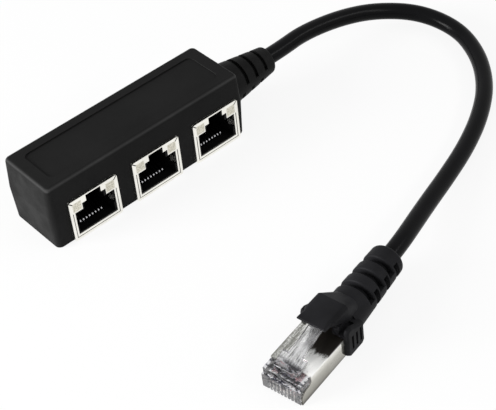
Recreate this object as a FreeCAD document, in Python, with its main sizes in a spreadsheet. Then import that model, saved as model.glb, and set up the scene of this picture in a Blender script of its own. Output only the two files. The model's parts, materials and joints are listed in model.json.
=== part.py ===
"""RJ45 splitter adapter: a moulded block with three shielded jacks, on a short cable with a shielded plug.

The world frame has its origin under the middle of the block, X along the block towards the cable,
-Y out of the three sockets and Z up, in millimetres. The plug lies on the same surface as the block.
"""
import FreeCAD, Part
import Sketcher
import math
import os

V = FreeCAD.Vector

SIZES = [
    # block
    ("housing_length", 67.0), ("housing_depth", 20.9), ("housing_height", 20.9), ("parting_height", 11.2),
    ("housing_corner", 2.2), ("draft_above", 3.5), ("draft_below", 2.6),
    ("crown_round", 1.2), ("foot_round", 0.6),
    ("recess_length", 57.8), ("recess_width", 12.8), ("recess_corner", 1.8), ("recess_depth", 0.35),
    # three jacks in a row
    ("jack_last", 10.93), ("jack_spread", 0.401855), ("jack_width", 16.1), ("jack_height", 13.6),
    ("jack_depth", 16.0), ("jack_lift", 0.4), ("jack_proud", 0.5), ("sheet", 0.3), ("sheet_bend", 0.6),
    ("fold_slit", 0.2), ("notch_drop", 0.9), ("tail_window", 9.2),
    ("port_width", 13.0), ("port_sill", 1.7), ("port_height", 7.65),
    ("port_step_width", 7.8), ("port_step_height", 1.95),
    ("port_notch_width", 4.9), ("port_notch_height", 1.9),
    ("spring_sill", 4.9), ("spring_height", 2.2), ("spring_length", 4.2), ("spring_reach", 0.6),
    ("spring_clearance", 0.2), ("crease_place", 0.75), ("crease_width", 0.28), ("crease_depth", 0.16),
    ("corner_slit", 1.3),
    # insulator inside each jack
    ("cavity_width", 11.9), ("cavity_height", 6.9), ("cavity_sill", 1.95), ("cavity_depth", 12.0),
    ("latch_way_width", 6.6), ("latch_way_height", 2.3),
    ("latch_slot_width", 4.4), ("latch_slot_height", 1.7),
    ("well_width", 8.4), ("well_start", 2.9), ("well_floor", 0.95), ("duct_height", 0.8), ("tail_slot", 12.9),
    # eight spring contacts in each jack
    ("contact_pitch", 1.016), ("contact_width", 0.38), ("contact_thick", 0.35), ("contact_front", 3.3),
    ("bend_top", 2.35), ("bend_cut", 0.25), ("tip_place", 11.4), ("tip_top", 5.6),
    ("tail_near", 13.5), ("tail_far", 15.0),
    # circuit board over the jacks
    ("board_gap", 2.1), ("board_front", 6.0), ("board_back", 7.0), ("board_thick", 1.6), ("tail_hole", 0.8),
    # strain relief and its block inside the wall
    ("relief_axis", 10.4), ("relief_length", 18.0), ("relief_root", 6.8), ("relief_end", 4.07),
    ("relief_seat", 0.5), ("relief_fit", 0.08), ("relief_neck", 5.0), ("relief_end_round", 0.9),
    ("relief_slot_first", 5.9), ("relief_slot_pitch", 4.0), ("slot_width", 1.2), ("slot_depth", 1.2),
    ("slot_angle", 160.0),
    ("block_thick", 1.7), ("block_width", 9.4), ("block_above", 2.2), ("block_below", 5.0),
    ("lead_diameter", 0.9), ("lead_pitch", 1.1),
    # cable
    ("cable_diameter", 5.0), ("cable_rise", 0.5), ("cable_lead_in", 5.5),
    # plug, where X runs back from the nose and Z up from the underside
    ("nose_x", -25.0), ("nose_y", -88.82), ("nose_z", 0.15), ("plug_yaw", 11.03), ("plug_tilt", 2.0),
    ("plug_width", 11.7), ("plug_height", 6.6), ("plug_length", 21.8), ("plug_sheet", 0.25),
    ("nose_height", 4.7), ("nose_cut", 0.75), ("shield_front", 4.4), ("shield_belly", 9.0),
    ("latch_root", 2.3), ("latch_shoulder", 6.6), ("latch_end", 17.0), ("latch_thick", 1.1),
    ("latch_rise", 3.6), ("latch_root_width", 6.9), ("latch_width", 3.6),
    ("blade_front", 0.9), ("blade_back", 5.9), ("blade_top", 3.3), ("blade_thick", 0.3), ("blade_gap", 0.06),
    ("blade_sink", 0.15), ("blade_mouth", 1.3),
    ("wire_diameter", 0.92), ("wire_height", 3.9), ("wire_start", 1.7), ("wire_room", 0.1),
    # boot
    ("grip_front", 17.8), ("grip_back", 24.8), ("grip_width", 14.2), ("grip_height", 9.4), ("grip_fall", 2.6),
    ("grip_belly", 0.3), ("grip_round", 1.0), ("plug_seat", 4.4), ("grip_slot_first", 19.9),
    ("grip_slot_pitch", 1.65), ("grip_slot_width", 0.75), ("grip_slot_depth", 0.5),
    ("grip_slot_low", 1.8), ("grip_slot_high", 6.4),
    ("grip_wing", 1.1), ("wing_gap_floor", 7.4),
    ("hood_front", 13.3), ("hood_height", 13.3), ("hood_crown", 0.2), ("hood_lip", 0.8), ("hood_back", 22.3),
    ("hood_front_width", 8.2), ("hood_waist", 16.0), ("hood_waist_width", 7.8), ("hood_shoulder", 17.0),
    ("hood_width", 8.9), ("hood_end", 27.8), ("hood_end_width", 8.4), ("hood_end_rise", 5.1),
    ("hood_skirt", 11.3), ("hood_edge", 0.5), ("hood_round", 1.2), ("hood_end_round", 3.5),
    ("hood_mouth_width", 5.2), ("hood_wall", 19.4),
    ("boot_axis", 4.55), ("boot_end", 47.2), ("boot_root", 5.5), ("boot_tip", 4.6), ("boot_tip_round", 1.2),
    ("neck_bend", 2.6), ("neck_pivot", 31.0),
    ("boot_slot_first", 31.5), ("boot_slot_pitch", 4.95), ("boot_slot_width", 1.7), ("boot_slot_depth", 1.85),
    ("boot_slot_roll", -24.5), ("boot_slot_angle", 199.0), ("rib_round", 0.6),
]

doc = FreeCAD.newDocument("rj45_splitter_adapter")
sheet = doc.addObject("Spreadsheet::Sheet", "dim")
for row, (alias, size) in enumerate(SIZES, 1):
    sheet.set("A%d" % row, alias)
    sheet.set("B%d" % row, str(size))
    sheet.setAlias("B%d" % row, alias)
doc.recompute()


def number(text):
    """Value of an expression on the sheet's sizes."""
    return float(sheet.evalExpression(text))


def body(label):
    made = doc.addObject("PartDesign::Body", label)
    made.Label = label
    return made


def datum(piece, role):
    """Origin plane or axis of a body."""
    return [feature for feature in piece.Origin.OriginFeatures if feature.Role == role][0]


def sketch_on(piece, name, role, offset="0", lift="0", roll="0", bend="0", pivot="0"):
    """Empty sketch on an origin plane: moved along its normal and up in its own plane, rolled about its
    X axis and swung sideways about an upright line at the pivot."""
    made = piece.newObject("Sketcher::SketchObject", name)
    made.AttachmentSupport = [(datum(piece, role), "")]
    made.MapMode = "FlatFace"
    swing = FreeCAD.Rotation(V(0, 1, 0), number(bend)) * FreeCAD.Rotation(V(1, 0, 0), number(roll))
    made.AttachmentOffset = FreeCAD.Placement(V(0, 0, 0), swing)
    made.setExpression(".AttachmentOffset.Base.x", "%s * (1 - cos(%s))" % (pivot, bend))
    made.setExpression(".AttachmentOffset.Base.y", lift)
    made.setExpression(".AttachmentOffset.Base.z", "%s + %s * sin(%s)" % (offset, pivot, bend))
    return made


def fix_point(sketch, line, end, across, up):
    """Hold one end of a line at a place given by two expressions."""
    for kind, text in (("DistanceX", across), ("DistanceY", up)):
        held = sketch.addConstraint(Sketcher.Constraint(kind, -1, 1, line, end, number(text)))
        sketch.setExpression("Constraints[%d]" % held, text)


def polygon(sketch, corners):
    """Closed outline through corners, each a pair of expressions."""
    places = [V(number(across), number(up), 0) for across, up in corners]
    lines = []
    for index, place in enumerate(places):
        following = places[(index + 1) % len(places)]
        lines.append(sketch.addGeometry(Part.LineSegment(place, following)))
    for index, line in enumerate(lines):
        following = lines[(index + 1) % len(lines)]
        sketch.addConstraint(Sketcher.Constraint("Coincident", line, 2, following, 1))
        fix_point(sketch, line, 1, *corners[index])


def rectangle(sketch, left, low, right, high):
    polygon(sketch, [(left, low), (right, low), (right, high), (left, high)])


def rounded_rectangle(sketch, left, low, right, high, radius):
    """Rectangle with four equal corner arcs, held by expressions."""
    x0, y0, x1, y1, r = (number(text) for text in (left, low, right, high, radius))
    runs = [(V(x0 + r, y0, 0), V(x1 - r, y0, 0)), (V(x1, y0 + r, 0), V(x1, y1 - r, 0)),
            (V(x1 - r, y1, 0), V(x0 + r, y1, 0)), (V(x0, y1 - r, 0), V(x0, y0 + r, 0))]
    centres = [V(x1 - r, y0 + r, 0), V(x1 - r, y1 - r, 0), V(x0 + r, y1 - r, 0), V(x0 + r, y0 + r, 0)]
    lines = []
    arcs = []
    for turn in range(4):
        start = (turn - 1) * math.pi / 2
        circle = Part.Circle(centres[turn], V(0, 0, 1), r)
        lines.append(sketch.addGeometry(Part.LineSegment(*runs[turn])))
        arcs.append(sketch.addGeometry(Part.ArcOfCircle(circle, start, start + math.pi / 2)))
    for turn in range(4):
        sketch.addConstraint(Sketcher.Constraint("Tangent", lines[turn], 2, arcs[turn], 1))
        sketch.addConstraint(Sketcher.Constraint("Tangent", arcs[turn], 2, lines[(turn + 1) % 4], 1))
        sketch.addConstraint(Sketcher.Constraint("Vertical" if turn % 2 else "Horizontal", lines[turn]))
        if turn:
            sketch.addConstraint(Sketcher.Constraint("Equal", arcs[0], arcs[turn]))
    held = sketch.addConstraint(Sketcher.Constraint("Radius", arcs[0], r))
    sketch.setExpression("Constraints[%d]" % held, radius)
    for kind, line, text in (("DistanceY", 0, low), ("DistanceX", 1, right),
                             ("DistanceY", 2, high), ("DistanceX", 3, left)):
        held = sketch.addConstraint(Sketcher.Constraint(kind, -1, 1, lines[line], 1, number(text)))
        sketch.setExpression("Constraints[%d]" % held, text)


def disc(sketch, across, up, radius):
    ring = sketch.addGeometry(Part.Circle(V(number(across), number(up), 0), V(0, 0, 1), number(radius)))
    fix_point(sketch, ring, 3, across, up)
    held = sketch.addConstraint(Sketcher.Constraint("Radius", ring, number(radius)))
    sketch.setExpression("Constraints[%d]" % held, radius)


def extrude(piece, name, sketch, length, cut=False, reverse=False, taper=None):
    """Pad, or Pocket where cut is set. A pad goes along the sketch's normal and a pocket against it."""
    made = piece.newObject("PartDesign::Pocket" if cut else "PartDesign::Pad", name)
    made.Profile = sketch
    made.setExpression("Length", length)
    made.Reversed = reverse
    if taper:
        made.setExpression("TaperAngle", taper)
    sketch.Visibility = False
    return made


def spin(piece, name, sketch, cut=False, angle=None):
    """Revolution, or Groove where cut is set, about the sketch's own X axis."""
    made = piece.newObject("PartDesign::Groove" if cut else "PartDesign::Revolution", name)
    made.Profile = sketch
    made.ReferenceAxis = (sketch, ["H_Axis"])
    if angle:
        made.Midplane = True
        made.setExpression("Angle", angle)
    return made


def row_of(piece, name, feature, role, length, count):
    """Copies of a feature along an origin axis."""
    made = piece.newObject("PartDesign::LinearPattern", name)
    made.Originals = [feature]
    made.Direction = (datum(piece, role), [""])
    made.setExpression("Length", length)
    made.Occurrences = count
    piece.Tip = made
    return made


def opposite(piece, name, features, sketch):
    """The same cut half a turn round the sketch's X axis."""
    made = piece.newObject("PartDesign::PolarPattern", name)
    made.Originals = features
    made.Axis = (sketch, ["H_Axis"])
    made.Angle = 360
    made.Occurrences = 2
    piece.Tip = made
    return made


def mirror(piece, name, features, role):
    made = piece.newObject("PartDesign::Mirrored", name)
    made.Originals = features
    made.MirrorPlane = (datum(piece, role), [""])
    piece.Tip = made
    return made


def dress(piece, kind, name, size, wanted):
    """Fillet or chamfer on the edges of the tip that the test picks."""
    doc.recompute()
    base = piece.Tip
    names = ["Edge%d" % (index + 1) for index, edge in enumerate(base.Shape.Edges) if wanted(edge)]
    made = piece.newObject("PartDesign::" + kind, name)
    made.Base = (base, names)
    made.setExpression("Radius" if kind == "Fillet" else "Size", size)
    return made


def lies(edge, **sides):
    """True where every end of the edge lies on the given coordinates."""
    return all(abs(getattr(vertex, side.upper()) - place) < 1e-4
               for vertex in edge.Vertexes for side, place in sides.items())


def place(piece, across, along, up):
    piece.setExpression(".Placement.Base.x", across)
    piece.setExpression(".Placement.Base.y", along)
    piece.setExpression(".Placement.Base.z", up)


# Places that several pieces share.
BOARD_SEAT = "dim.jack_lift + dim.jack_height"
JACK_FACE = "dim.housing_depth / 2 + dim.jack_proud"
WALL = "dim.housing_length / 2"
JACK_ROOM = "(dim.housing_length - 2 * dim.jack_last - 2 * dim.jack_width)"
JACK_SPAN = "(2 * dim.jack_width + 2 * dim.jack_spread * " + JACK_ROOM + ")"
FIRST_JACK = WALL + " - dim.jack_last - " + JACK_SPAN
BLOCK_LEFT = WALL + " - dim.jack_last + dim.jack_width / 2"
BLOCK_RIGHT = BLOCK_LEFT + " + dim.block_thick"
NECK = {"lift": "dim.boot_axis", "bend": "dim.neck_bend", "pivot": "dim.neck_pivot"}


def make_housing():
    """Moulding with a parting line at mid-height and draft on both sides of it."""
    housing = body("housing")
    outline = sketch_on(housing, "parting_outline", "XY_Plane", "dim.parting_height")
    rounded_rectangle(outline, "-dim.housing_length / 2", "-dim.housing_depth / 2",
                      "dim.housing_length / 2", "dim.housing_depth / 2", "dim.housing_corner")
    extrude(housing, "upper_half", outline, "dim.housing_height - dim.parting_height",
            taper="-dim.draft_above")
    extrude(housing, "lower_half", outline, "dim.parting_height", reverse=True, taper="-dim.draft_below")
    top = number("dim.housing_height")
    dress(housing, "Fillet", "crown", "dim.crown_round", lambda edge: lies(edge, z=top))
    dress(housing, "Fillet", "foot", "dim.foot_round", lambda edge: lies(edge, z=0))
    recess = sketch_on(housing, "recess_outline", "XY_Plane", "dim.housing_height")
    rounded_rectangle(recess, "-dim.recess_length / 2", "-dim.recess_width / 2",
                      "dim.recess_length / 2", "dim.recess_width / 2", "dim.recess_corner")
    extrude(housing, "recess", recess, "dim.recess_depth", cut=True)

    mouth = sketch_on(housing, "jack_mouth", "XZ_Plane", JACK_FACE)
    rounded_rectangle(mouth, FIRST_JACK + " - dim.jack_width / 2", "dim.jack_lift",
                      FIRST_JACK + " + dim.jack_width / 2", BOARD_SEAT, "dim.sheet_bend")
    hole = extrude(housing, "jack_hole", mouth, "dim.jack_depth", cut=True)
    row_of(housing, "jack_holes", hole, "X_Axis", JACK_SPAN, 3)

    seat = sketch_on(housing, "board_outline", "XY_Plane", BOARD_SEAT)
    rectangle(seat, "dim.board_gap - " + WALL, "-dim.board_front", BLOCK_RIGHT, "dim.board_back")
    extrude(housing, "board_room", seat, "dim.board_thick", cut=True, reverse=True)
    block = sketch_on(housing, "block_outline", "XY_Plane", BOARD_SEAT)
    rectangle(block, BLOCK_LEFT, "-dim.block_width / 2", BLOCK_RIGHT, "dim.block_width / 2")
    extrude(housing, "block_room", block, BOARD_SEAT + " - dim.relief_axis + dim.block_below", cut=True)

    rim = sketch_on(housing, "relief_rim", "YZ_Plane", WALL)
    disc(rim, "0", "dim.relief_axis", "dim.relief_root + dim.relief_fit")
    extrude(housing, "relief_seat", rim, "dim.relief_seat", cut=True)
    throat = sketch_on(housing, "relief_throat", "YZ_Plane", WALL)
    disc(throat, "0", "dim.relief_axis", "dim.relief_neck + dim.relief_fit")
    extrude(housing, "relief_way", throat, WALL + " - (" + BLOCK_RIGHT + ")", cut=True)
    return housing


def make_shield(label):
    """Folded sheet can: front plate with a stepped opening, side springs and a window over the tails."""
    shield = body(label)
    can = sketch_on(shield, "can_section", "XZ_Plane")
    rounded_rectangle(can, "-dim.jack_width / 2", "0", "dim.jack_width / 2", "dim.jack_height",
                      "dim.sheet_bend")
    rounded_rectangle(can, "-dim.jack_width / 2 + dim.sheet", "dim.sheet", "dim.jack_width / 2 - dim.sheet",
                      "dim.jack_height - dim.sheet", "dim.sheet_bend - dim.sheet")
    extrude(shield, "can", can, "dim.jack_depth", reverse=True)

    face = sketch_on(shield, "face_outline", "XZ_Plane")
    rounded_rectangle(face, "-dim.jack_width / 2", "0", "dim.jack_width / 2", "dim.jack_height",
                      "dim.sheet_bend")
    half, step, notch = "dim.port_width / 2", "dim.port_step_width / 2", "dim.port_notch_width / 2"
    low = "dim.port_sill"
    shoulder = "dim.port_sill + dim.port_height"
    ledge = shoulder + " + dim.port_step_height"
    peak = ledge + " + dim.port_notch_height"
    polygon(face, [("-" + half, low), (half, low), (half, shoulder), (step, shoulder), (step, ledge),
                   (notch, ledge), (notch, peak), ("-" + notch, peak), ("-" + notch, ledge),
                   ("-" + step, ledge), ("-" + step, shoulder), ("-" + half, shoulder)])
    extrude(shield, "face", face, "dim.sheet", reverse=True)
    rear = sketch_on(shield, "rear_outline", "XZ_Plane", "-dim.jack_depth + dim.sheet")
    rounded_rectangle(rear, "-dim.jack_width / 2", "0", "dim.jack_width / 2", "dim.jack_height",
                      "dim.sheet_bend")
    extrude(shield, "rear", rear, "dim.sheet", reverse=True)

    crease = sketch_on(shield, "crease_outline", "XZ_Plane")
    far = "dim.jack_width / 2 - dim.crease_place"
    near = far + " - dim.crease_width"
    deep = "dim.crease_place + dim.crease_width"
    polygon(crease, [("-(" + far + ")", "dim.crease_place"), (far, "dim.crease_place"), (far, shoulder),
                     (near, shoulder), (near, deep), ("-(" + near + ")", deep),
                     ("-(" + near + ")", shoulder), ("-(" + far + ")", shoulder)])
    extrude(shield, "crease", crease, "dim.crease_depth", cut=True)
    corner = sketch_on(shield, "corner_slit_outline", "XZ_Plane")
    right, top, wide = "dim.jack_width / 2", "dim.jack_height", "dim.fold_slit"
    polygon(corner, [(right + " + " + wide, top), (right, top + " + " + wide),
                     (right + " - dim.corner_slit", top + " - dim.corner_slit + " + wide),
                     (right + " - dim.corner_slit + " + wide, top + " - dim.corner_slit")])
    cut = extrude(shield, "corner_slit", corner, "dim.sheet", cut=True)
    mirror(shield, "corner_slits", [cut], "YZ_Plane")

    slit = sketch_on(shield, "slit_outline", "XY_Plane", "dim.jack_height")
    rectangle(slit, "-dim.jack_width / 2", "dim.sheet", "dim.jack_width / 2", "dim.sheet + dim.fold_slit")
    extrude(shield, "fold_slit", slit, "dim.notch_drop", cut=True)
    window = sketch_on(shield, "window_outline", "XY_Plane", "dim.jack_height")
    rectangle(window, "-dim.tail_window / 2", "dim.tail_slot",
              "dim.tail_window / 2", "dim.jack_depth - dim.sheet")
    extrude(shield, "tail_window", window, "dim.sheet", cut=True)

    spring = sketch_on(shield, "spring_strip", "XY_Plane", "dim.spring_sill")
    crest = half + " - dim.spring_reach"
    polygon(spring, [(half, "0"), (half + " + dim.sheet", "0"),
                     (crest + " + dim.sheet", "dim.spring_length * 0.55"),
                     (half + " + dim.sheet", "dim.spring_length"), (half, "dim.spring_length"),
                     (crest, "dim.spring_length * 0.55")])
    leaf = extrude(shield, "spring", spring, "dim.spring_height")
    mirror(shield, "springs", [leaf], "YZ_Plane")
    return shield


def make_insert(label):
    """Insulator that fills the can, with the plug's cavity, the latch way and the wells of the contacts."""
    insert = body(label)
    outer = sketch_on(insert, "insert_section", "XZ_Plane", "-dim.sheet")
    rounded_rectangle(outer, "-dim.jack_width / 2 + dim.sheet", "dim.sheet", "dim.jack_width / 2 - dim.sheet",
                      "dim.jack_height - dim.sheet", "dim.sheet_bend - dim.sheet")
    extrude(insert, "insert_block", outer, "dim.jack_depth - 2 * dim.sheet", reverse=True)

    mouth = sketch_on(insert, "cavity_outline", "XZ_Plane", "-dim.sheet")
    half, way, slot = "dim.cavity_width / 2", "dim.latch_way_width / 2", "dim.latch_slot_width / 2"
    low = "dim.cavity_sill"
    roof = low + " + dim.cavity_height"
    ledge = roof + " + dim.latch_way_height"
    peak = ledge + " + dim.latch_slot_height"
    polygon(mouth, [("-" + half, low), (half, low), (half, roof), (way, roof), (way, ledge),
                    (slot, ledge), (slot, peak), ("-" + slot, peak), ("-" + slot, ledge),
                    ("-" + way, ledge), ("-" + way, roof), ("-" + half, roof)])
    extrude(insert, "cavity", mouth, "dim.cavity_depth - dim.sheet", cut=True)

    well = sketch_on(insert, "well_section", "YZ_Plane", "dim.well_width / 2")
    duct = "dim.well_floor + dim.duct_height"
    rear = "dim.jack_depth - dim.sheet"
    polygon(well, [("dim.well_start", "dim.well_floor"), (rear, "dim.well_floor"),
                   (rear, "dim.jack_height - dim.sheet"), ("dim.tail_slot", "dim.jack_height - dim.sheet"),
                   ("dim.tail_slot", duct), ("dim.cavity_depth", duct), ("dim.cavity_depth", low),
                   ("dim.well_start", low)])
    extrude(insert, "well", well, "dim.well_width", cut=True)

    pocket = sketch_on(insert, "spring_room_outline", "XY_Plane",
                       "dim.spring_sill + dim.spring_height + dim.spring_clearance")
    rectangle(pocket, half, "dim.sheet", "dim.port_width / 2 + dim.sheet + dim.spring_clearance",
              "dim.spring_length + dim.spring_clearance")
    room = extrude(insert, "spring_room", pocket, "dim.spring_height + 2 * dim.spring_clearance", cut=True)
    mirror(insert, "spring_rooms", [room], "YZ_Plane")
    return insert


def make_contacts(label):
    """Eight bent strips: tail down through the board, run under the cavity, bend and spring back up."""
    contacts = body(label)
    top = "dim.jack_height + dim.board_thick"
    slope = "(dim.tip_top - dim.bend_top) / (dim.tip_place - dim.contact_front)"
    for name, tail, first in (("near", "dim.tail_near", "-3.5"), ("far", "dim.tail_far", "-2.5")):
        strip = sketch_on(contacts, name + "_strip", "YZ_Plane",
                          first + " * dim.contact_pitch - dim.contact_width / 2")
        polygon(strip, [
            (tail + " + dim.contact_thick / 2", top),
            (tail + " - dim.contact_thick / 2", top),
            (tail + " - dim.contact_thick / 2", "dim.well_floor + dim.contact_thick"),
            ("dim.contact_front + dim.contact_thick", "dim.well_floor + dim.contact_thick"),
            ("dim.contact_front + dim.contact_thick",
             "dim.bend_top - dim.contact_thick + dim.contact_thick * " + slope),
            ("dim.tip_place", "dim.tip_top - dim.contact_thick"),
            ("dim.tip_place", "dim.tip_top"),
            ("dim.contact_front + dim.bend_cut", "dim.bend_top + dim.bend_cut * " + slope),
            ("dim.contact_front", "dim.bend_top - dim.bend_cut"),
            ("dim.contact_front", "dim.well_floor"),
            (tail + " + dim.contact_thick / 2", "dim.well_floor")])
        pad = extrude(contacts, name + "_contact", strip, "dim.contact_width")
        row_of(contacts, name + "_row", pad, "X_Axis", "6 * dim.contact_pitch", 4)
    return contacts


def make_board():
    """Circuit board on top of the jacks, drilled for the contact tails."""
    board = body("circuit_board")
    outline = sketch_on(board, "board_edge", "XY_Plane", BOARD_SEAT)
    rectangle(outline, "dim.board_gap - " + WALL, "-dim.board_front", BLOCK_RIGHT, "dim.board_back")
    extrude(board, "board_plate", outline, "dim.board_thick")
    drill = sketch_on(board, "tail_holes", "XY_Plane", BOARD_SEAT + " + dim.board_thick")
    for index in range(8):
        tail = "dim.tail_far" if index % 2 else "dim.tail_near"
        disc(drill, FIRST_JACK + " + %.1f * dim.contact_pitch" % (index - 3.5),
             tail + " - (" + JACK_FACE + ")", "dim.tail_hole / 2")
    holes = extrude(board, "holes", drill, "dim.board_thick", cut=True)
    row_of(board, "hole_groups", holes, "X_Axis", JACK_SPAN, 3)
    return board


def make_leads():
    """Eight leads that rise from the moulded block to the underside of the board."""
    leads = body("board_leads")
    foot = sketch_on(leads, "lead_section", "XY_Plane", "dim.relief_axis + dim.block_above")
    disc(foot, BLOCK_LEFT + " + dim.block_thick / 2", "-3.5 * dim.lead_pitch", "dim.lead_diameter / 2")
    lead = extrude(leads, "lead", foot, BOARD_SEAT + " - dim.relief_axis - dim.block_above")
    row_of(leads, "lead_row", lead, "Y_Axis", "7 * dim.lead_pitch", 8)
    return leads


def taper_radius(root, end, start, finish, spot):
    """Expression for the radius at a spot of a cone that narrows from start to finish."""
    share = "((%s) - (%s)) / ((%s) - (%s))" % (spot, start, finish, start)
    return "(%s) + ((%s) - (%s)) * %s" % (root, end, root, share)


def cut_half_slots(piece, first, pitch, width, depth, angle, sides, stagger, **setting):
    """Three slots over the top of a cone and three between them under it, with a spine on each side."""
    for name, side, start in (("upper_slots", "", first), ("lower_slots", "-", first + " + " + stagger)):
        section = sketch_on(piece, name + "_section", "XZ_Plane", **setting)
        for index in range(3):
            centre = "%s + %d * %s" % (start, index, pitch)
            surface = "(" + taper_radius(*sides, centre) + ")"
            rectangle(section, centre + " - " + width + " / 2", side + "(" + surface + " - " + depth + ")",
                      centre + " + " + width + " / 2", side + "(" + surface + " + " + depth + ")")
        spin(piece, name, section, cut=True, angle=angle)


def make_relief():
    """Strain relief moulded on the cable: a tapered, slotted sleeve and a block inside the housing."""
    relief = body("strain_relief")
    face = WALL + " + dim.relief_length"
    seat = WALL + " - dim.relief_seat"
    profile = sketch_on(relief, "relief_section", "XZ_Plane")
    polygon(profile, [(BLOCK_RIGHT, "0"), (face, "0"), (face, "dim.relief_end"), (seat, "dim.relief_root"),
                      (seat, "dim.relief_neck"), (BLOCK_RIGHT, "dim.relief_neck")])
    spin(relief, "sleeve", profile)
    end = number(face)
    rim = number("dim.relief_end")
    dress(relief, "Fillet", "end_round", "dim.relief_end_round",
          lambda edge: lies(edge, x=end) and abs(edge.Length - 2 * math.pi * rim) < 0.01)
    key = sketch_on(relief, "block_section", "YZ_Plane", BLOCK_LEFT)
    rectangle(key, "-dim.block_width / 2", "-dim.block_below", "dim.block_width / 2", "dim.block_above")
    extrude(relief, "block", key, "dim.block_thick")
    cut_half_slots(relief, WALL + " + dim.relief_slot_first", "dim.relief_slot_pitch", "dim.slot_width",
                   "dim.slot_depth", "dim.slot_angle", ("dim.relief_root", "dim.relief_end", seat, face),
                   "-dim.relief_slot_pitch / 2")
    return relief


def make_cable(start, finish, heading):
    """Round jacket swept along straight runs that tangent arcs join, from the relief to the boot."""
    lead_in = number("dim.cable_lead_in")
    route = [start, start + V(lead_in, 0, 0), V(67.0, 1.0, 10.8), V(80.9, -0.3, 9.4), V(93.2, -3.5, 7.0),
             V(103.5, -11.7, 4.7), V(106.4, -24.6, 3.2), V(101.5, -37.1, 2.6), V(92.5, -47.9, 2.5),
             V(81.1, -55.9, 2.5), V(68.5, -62.0, 2.6), V(55.4, -66.9, 3.3), V(43.2, -71.3, 4.6),
             V(33.2, -75.2, 5.8), finish + heading * lead_in, finish]
    points = [route[0]]
    edges = []
    radii = []
    for before, corner, after in zip(route, route[1:], route[2:]):
        inward = (before - corner).normalize()
        outward = (after - corner).normalize()
        turn = math.pi - inward.getAngle(outward)
        reach = 0.45 * min((before - corner).Length, (after - corner).Length)
        radii.append(reach / math.tan(turn / 2))
        entry = corner + inward * reach
        leave = corner + outward * reach
        bisector = (inward + outward).normalize()
        middle = corner + bisector * (radii[-1] / math.cos(turn / 2) - radii[-1])
        edges.append(Part.LineSegment(points[-1], entry).toShape())
        edges.append(Part.Arc(entry, middle, leave).toShape())
        points.append(leave)
    edges.append(Part.LineSegment(points[-1], route[-1]).toShape())
    path = doc.addObject("Part::Feature", "cable_route")
    path.Shape = Part.Wire(edges)
    section = doc.addObject("Part::Circle", "cable_section")
    section.setExpression("Radius", "dim.cable_diameter / 2")
    section.Placement = FreeCAD.Placement(start, FreeCAD.Rotation(V(0, 0, 1), route[1] - route[0]))
    doc.recompute()
    cable = doc.addObject("Part::Sweep", "cable")
    cable.Sections = [section]
    cable.Spine = (path, ["Edge%d" % (index + 1) for index in range(len(edges))])
    cable.Solid = True
    cable.Label = "cable"
    doc.recompute()
    ideal = math.pi * number("dim.cable_diameter") ** 2 / 4 * path.Shape.Length
    print("cable length %.1f, volume ratio %.4f" % (path.Shape.Length, cable.Shape.Volume / ideal))
    print("bend radii", ", ".join("%.1f" % radius for radius in radii))
    return cable


def make_plug_body():
    """Clear plug body in one with its latch, with slots for the blades and a way for the conductors."""
    plug = body("plug_body")
    inner = "(dim.plug_width - 2 * dim.plug_sheet)"
    top = "dim.plug_height - dim.plug_sheet"
    side = sketch_on(plug, "plug_side", "XZ_Plane", "-" + inner + " / 2")
    polygon(side, [("0", "dim.plug_sheet"), ("dim.plug_length", "dim.plug_sheet"), ("dim.plug_length", top),
                   ("dim.nose_cut", top), ("dim.nose_cut", "dim.nose_height"), ("0", "dim.nose_height")])
    extrude(plug, "plug_block", side, inner)
    climb = "dim.latch_rise / (dim.latch_end - dim.latch_root)"
    shoulder = "dim.latch_shoulder"
    rise = "(" + shoulder + " - dim.latch_root) * " + climb
    root = sketch_on(plug, "latch_root_side", "XZ_Plane", "-dim.latch_root_width / 2")
    polygon(root, [("dim.latch_root", top), ("dim.latch_root + dim.latch_thick", top),
                   (shoulder, top + " + " + rise), (shoulder, top + " + dim.latch_thick + " + rise),
                   ("dim.latch_root", top + " + dim.latch_thick")])
    extrude(plug, "latch_root", root, "dim.latch_root_width")
    lever = sketch_on(plug, "latch_side", "XZ_Plane", "-dim.latch_width / 2")
    polygon(lever, [(shoulder, top + " + " + rise), ("dim.latch_end", top + " + dim.latch_rise"),
                    ("dim.latch_end", top + " + dim.latch_rise + dim.latch_thick"),
                    (shoulder, top + " + dim.latch_thick + " + rise)])
    extrude(plug, "latch", lever, "dim.latch_width")

    room = sketch_on(plug, "wire_way", "YZ_Plane", "dim.plug_length")
    spread = "(3.5 * dim.contact_pitch + dim.wire_diameter / 2 + dim.wire_room)"
    rectangle(room, "-" + spread, "dim.wire_height - dim.wire_diameter / 2",
              spread, "dim.wire_height + dim.wire_diameter / 2 + dim.wire_room")
    extrude(plug, "wire_room", room, "dim.plug_length - dim.wire_start", cut=True)
    slot = sketch_on(plug, "blade_slot_outline", "XY_Plane", "dim.plug_sheet")
    reach = "(dim.blade_thick / 2 + dim.blade_gap)"
    rectangle(slot, "dim.blade_front - dim.blade_gap", "-3.5 * dim.contact_pitch - " + reach,
              "dim.blade_back + dim.blade_gap", "-3.5 * dim.contact_pitch + " + reach)
    cut = extrude(plug, "blade_slot", slot, "dim.blade_top + dim.blade_gap - dim.plug_sheet",
                  cut=True, reverse=True)
    row_of(plug, "blade_slots", cut, "Y_Axis", "7 * dim.contact_pitch", 8)
    mouth = sketch_on(plug, "blade_mouth_outline", "XY_Plane", "dim.plug_sheet")
    rectangle(mouth, "0", "-3.5 * dim.contact_pitch - " + reach,
              "dim.blade_front", "-3.5 * dim.contact_pitch + " + reach)
    cut = extrude(plug, "blade_mouth", mouth, "dim.blade_mouth - dim.plug_sheet", cut=True, reverse=True)
    row_of(plug, "blade_mouths", cut, "Y_Axis", "7 * dim.contact_pitch", 8)
    return plug


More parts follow.
